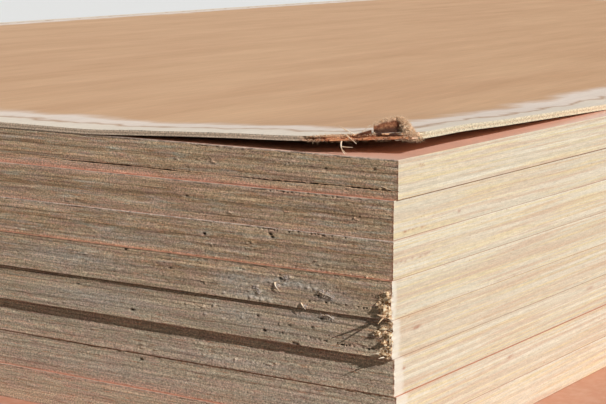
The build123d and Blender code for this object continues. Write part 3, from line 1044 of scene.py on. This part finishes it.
# Painted shade: the bowl darkens towards its root, where the crevice under it lies in shade
deep = 0.9 * unit((0.50 - share_up) / 0.3) * unit((p - 0.1) / 0.1)
flap = sheet_of(at_break(flap_along, flap_out, flap_up)[::-1], flap_thickness[::-1])
cover.add(*flap, PEELED, fresh=np.tile(fresh[::-1].ravel(), 2), deep=np.tile(deep[::-1].ravel(), 2))

# Its broken right-hand side: rolls of torn veneer that run down from the crown to the break, one over the
# other, each through three places (along, out, up), with its half width
ROLLS = (
    (((11.6, -2.9, 9.2), (7.6, -1.8, 8.2), (4.4, 0, 2.6)), 1),
    (((10, -2.4, 8.6), (6.6, -1, 6.8), (4.8, 0.6, 1.4)), 0.9),
    (((10.8, -2.6, 6.8), (8.2, -1, 5.8), (6.4, 0.4, 2.4)), 0.8),
)
ROLL_STEPS = 16
for roll, (bends, half_width) in enumerate(ROLLS):
    path = bow(*(at_break(*bend) for bend in bends), ROLL_STEPS)
    path = path + 0.25 * np.random.default_rng(730 + roll).normal(size=path.shape)
    lumpy = 1.0 + 0.25 * np.random.default_rng(740 + roll).normal(size=ROLL_STEPS)
    wide = half_width * lumpy * np.interp(np.linspace(0, 1, ROLL_STEPS), [0, 0.2, 0.8, 1], [0.4, 1, 1, 0.5])
    cover.add(*strands(path[None], wide, 0.8 * wide, 9), PEELED, fresh=0.85)

# A second, small curl beside it, darkened all over as painted shade
curl_p, curl_q = np.meshgrid(np.linspace(0, 1, 18), np.linspace(0, 1, 12), indexing="ij")
curl_along = 29.5 - 6.5 * curl_p
curl_up = 2.2 + 1.7 * curl_p * curl_q + 0.6 * curl_q
curl_out = 1.4 * curl_q ** 2 + 0.3 + 0.2 * grain(curl_p, curl_q, 0.2, 0.3, 711)
small_curl = sheet_of(at_break(curl_along, curl_out, curl_up)[::-1], np.full(curl_p.shape, 0.5))
cover.add(*small_curl, PEELED, deep=0.5)

# Its fur: fringes on the flap's lip, cheek and bowl, a brush where the side meets the break and another over
# the rolls, teeth along the break's lower rim, and a fringe along its upper one
LIP_HAIRS, CHEEK_HAIRS, BOWL_HAIRS = 800, 500, 420
SIDE_HAIRS, ROLL_HAIRS, RIM_HAIRS, CROWN_HAIRS = 500, 700, 900, 600
draw = np.random.default_rng(720)


def brush(along, out, up, way, lengths, thick, seed, stray=0.5, fresh=1):
    """Fibres at places along the break, growing along a way given along, out and up."""
    ahead = way[0] * along_break + way[1] * out_of_break
    taper = np.linspace(1, 0.3, 3)
    hairs(cover, at_break(along, out, up), (*turned(*ahead), way[2]), lengths, seed, stray, 0.45,
          thick * taper, 0.8 * thick * taper, 3, PEELED, fresh=fresh)


def flap_fur(columns, rows, count, way, shortest, longest, thick, seed, stray=0.5, fresh=1):
    """Fibres at random places within a part of the flap's own grid."""
    at = draw.integers(*columns, count), draw.integers(*rows, count)
    lengths = draw.uniform(shortest, longest, count)
    brush(flap_along[at], flap_out[at], flap_up[at], way, lengths, thick, seed, stray, fresh)


flap_fur((6, FLAP_COLUMNS), (35, FLAP_ROWS), LIP_HAIRS, (-0.3, 0.25, 0.45), 0.3, 0.9, 0.065, 721, 0.7)
flap_fur((0, 27), (8, FLAP_ROWS), CHEEK_HAIRS, (-0.7, 0.5, -0.25), 0.5, 1.5, 0.07, 726)
flap_fur((22, FLAP_COLUMNS), (8, 38), BOWL_HAIRS, (-0.2, 0.6, 0.2), 0.3, 0.6, 0.06, 722, 0.8, 0.15)
side_along = draw.triangular(0, 3.6, 10.5, SIDE_HAIRS)
side_top = np.interp(side_along, [0, 2, 5, 10.5], [1.8, 2.8, 4.6, 7])
side_up = draw.uniform(0, 1, SIDE_HAIRS) * side_top - 0.5
side_out = draw.uniform(0.2, 1, SIDE_HAIRS)
brush(side_along, side_out, side_up, (-0.6, 0.6, -0.5), draw.uniform(0.6, 1.7, SIDE_HAIRS), 0.075, 723)
down_roll = draw.uniform(0, 1, ROLL_HAIRS)
roll_courses = (((11.2, 7.2, 4.4), (-1.6, 1.2)), ((9.4, 6.8, 1.6), (-1, 0.8)), ((-2, -0.4, 0.8), (-0.6, 0.4)))
roll_along, roll_up, roll_out = (
    np.interp(down_roll, (0, 0.5, 1), course) + draw.uniform(*aside, ROLL_HAIRS)
    for course, aside in roll_courses)
brush(roll_along, roll_out, roll_up, (-0.6, 0.4, -0.1), draw.uniform(0.5, 1.5, ROLL_HAIRS), 0.07, 727, 0.6)
for count, reaches, way, seed, freshness in (
        (RIM_HAIRS, ((0, break_length + 9.0), (-0.2, 0.7), (0, 1.1), (0.4, 1.1)), (0, 0.8, -0.35), 724, 0.5),
        (CROWN_HAIRS, ((21, break_length + 6.0), (-1, 0.6), (2, 3), (0.3, 1)), (0, 0.6, 0.2), 725, 1)):
    along, out, up, lengths = (draw.uniform(*reach, count) for reach in reaches)
    brush(along, out, up, way, lengths, 0.07, seed, 0.8, freshness)

# Single splinters at the break, each through three places (along, out, up), with its half width
BREAK_SPLINTERS = (
    (((31, 0.2, 2.8), (34, 0.9, 4.6), (38, 0.8, 7)), 0.32),
    (((34.4, 0.8, 4.4), (36, 0.9, 5.8), (37, 0.7, 6.2)), 0.20),
    (((27.6, 0.2, 3.2), (26.2, 0.5, 5), (23.6, 0.6, 6.8)), 0.34),
    (((34.6, 0.3, 2.6), (32.6, 1, 1), (29.8, 1, -1.5)), 0.34),
    (((36.4, 0.3, 0.4), (37.8, 1, -2.6), (35.1, 1.1, -6)), 0.46),
    (((37, 0.9, -2.4), (34.6, 1.1, -3), (31.4, 1.2, -3)), 0.30),
    (((36.4, 1, -3.9), (35.2, 1.3, -5), (34.2, 1.3, -5.7)), 0.22),
    (((12.8, 0.3, 0.2), (12, 0.9, -1), (10.4, 0.9, -0.2)), 0.16),
)
for bends, half_width in BREAK_SPLINTERS:
    path = bow(*(at_break(*bend) for bend in bends), 10)
    taper = np.linspace(1, 0.4, 10)
    cover.add(*strands(path[None], half_width * taper, 0.7 * half_width * taper, 6), SPLINTERED)


def weathered_face():
    """Tan, with a cream rim, a thin brown tide line inside it, and a bleached band before the tan."""
    face = Finish("weathered_face_veneer", 0.8)
    wander = face.sum("MULTIPLY", face.noise((28, 28, 28), 3, 0.55), 34)
    from_rim = face.sum("SUBTRACT", face.sum("ADD", face.attribute("margin"), wander), 17)
    share = face.sum("DIVIDE", from_rim, 100)
    along_grain = face.noise((220, 30, 30), 4, 0.6, ALONG_COVER)
    tan = face.ramp(along_grain, (0.3, (210, 160, 117)), (0.7, (225, 179, 135)))
    band = face.ramp(share, (0, (244, 229, 209)), (0.14, (242, 225, 205)), (0.18, (202, 164, 134)),
                     (0.22, (243, 223, 206)), (0.36, (246, 228, 213)), (0.52, (217, 176, 138)))
    face.colour = face.mix(face.ramp(share, (0.34, 0), (0.56, 1)), band, tan)
    face.shade(face.noise((40, 2.2, 2.2), 4, 0.7, ALONG_COVER), (0.3, 0.90), (0.7, 1.05))
    face.lay(face.attribute("broken"), 240, 224, 204)
    return face.done(face.noise((9, 0.9, 0.9), 4, 0.7, ALONG_COVER), 0.10)


def three_ply_rim(name, outer, core, roughness):
    """The thin sheet's edge: two face veneers with a darker core between them, torn where it is broken."""
    rim = Finish(name, roughness)
    layers = rim.ramp(rim.attribute("veneer"), (0.28, 0), (0.36, 1), (0.64, 1), (0.72, 0))
    rim.colour = rim.mix(layers, paint(*outer), paint(*core))
    rim.shade(rim.noise((1, 1, 0.8), 3, 0.75), (0.25, 0.36), (0.5, 1), (0.78, 1.6))
    lower = rim.ramp(rim.noise((2, 2, 0.6), 3), (0.35, (160, 88, 54)), (0.62, (212, 148, 102)))
    upper = rim.ramp(rim.attribute("veneer"), (0.45, 0), (0.62, 1))
    torn = rim.mix(upper, lower, paint(216, 168, 128))
    rim.colour = rim.mix(rim.attribute("broken"), rim.colour, torn)
    return rim.done(rim.noise((1.2, 1.2, 0.3), 4, 0.7), 0.15)


def peeled_veneer():
    """The flap: brown and mottled in its bowl, with painted shade towards the bowl's root and over the small
    curl, and pale where the fibre is fresh.
    """
    peel = Finish("peeled_veneer", 0.85)
    peel.colour = peel.ramp(peel.noise((3, 3, 1.6), 4, 0.7), (0.34, (108, 58, 36)),
                            (0.5, (156, 97, 64)), (0.66, (204, 148, 106)))
    # Painted shade in the bowl's root and on the small curl
    peel.lay(peel.attribute("deep"), 66, 38, 25)
    peel.lay(peel.attribute("fresh"), 252, 220, 184)
    return peel.done(peel.noise((0.7, 0.7, 0.5), 4, 0.75), 0.3)


sawn_rim = three_ply_rim("cover_sawn_rim", (220, 204, 174), (210, 188, 156), 0.8)
worn_rim = three_ply_rim("cover_worn_rim", (240, 212, 184), (212, 182, 154), 0.9)
COVER_FINISHES = (weathered_face(), sawn_rim, worn_rim, peeled_veneer(), fibre)
cover.put("cover_sheet_skin", COVER_FINISHES, "cover_sheet", "weathered_plywood")
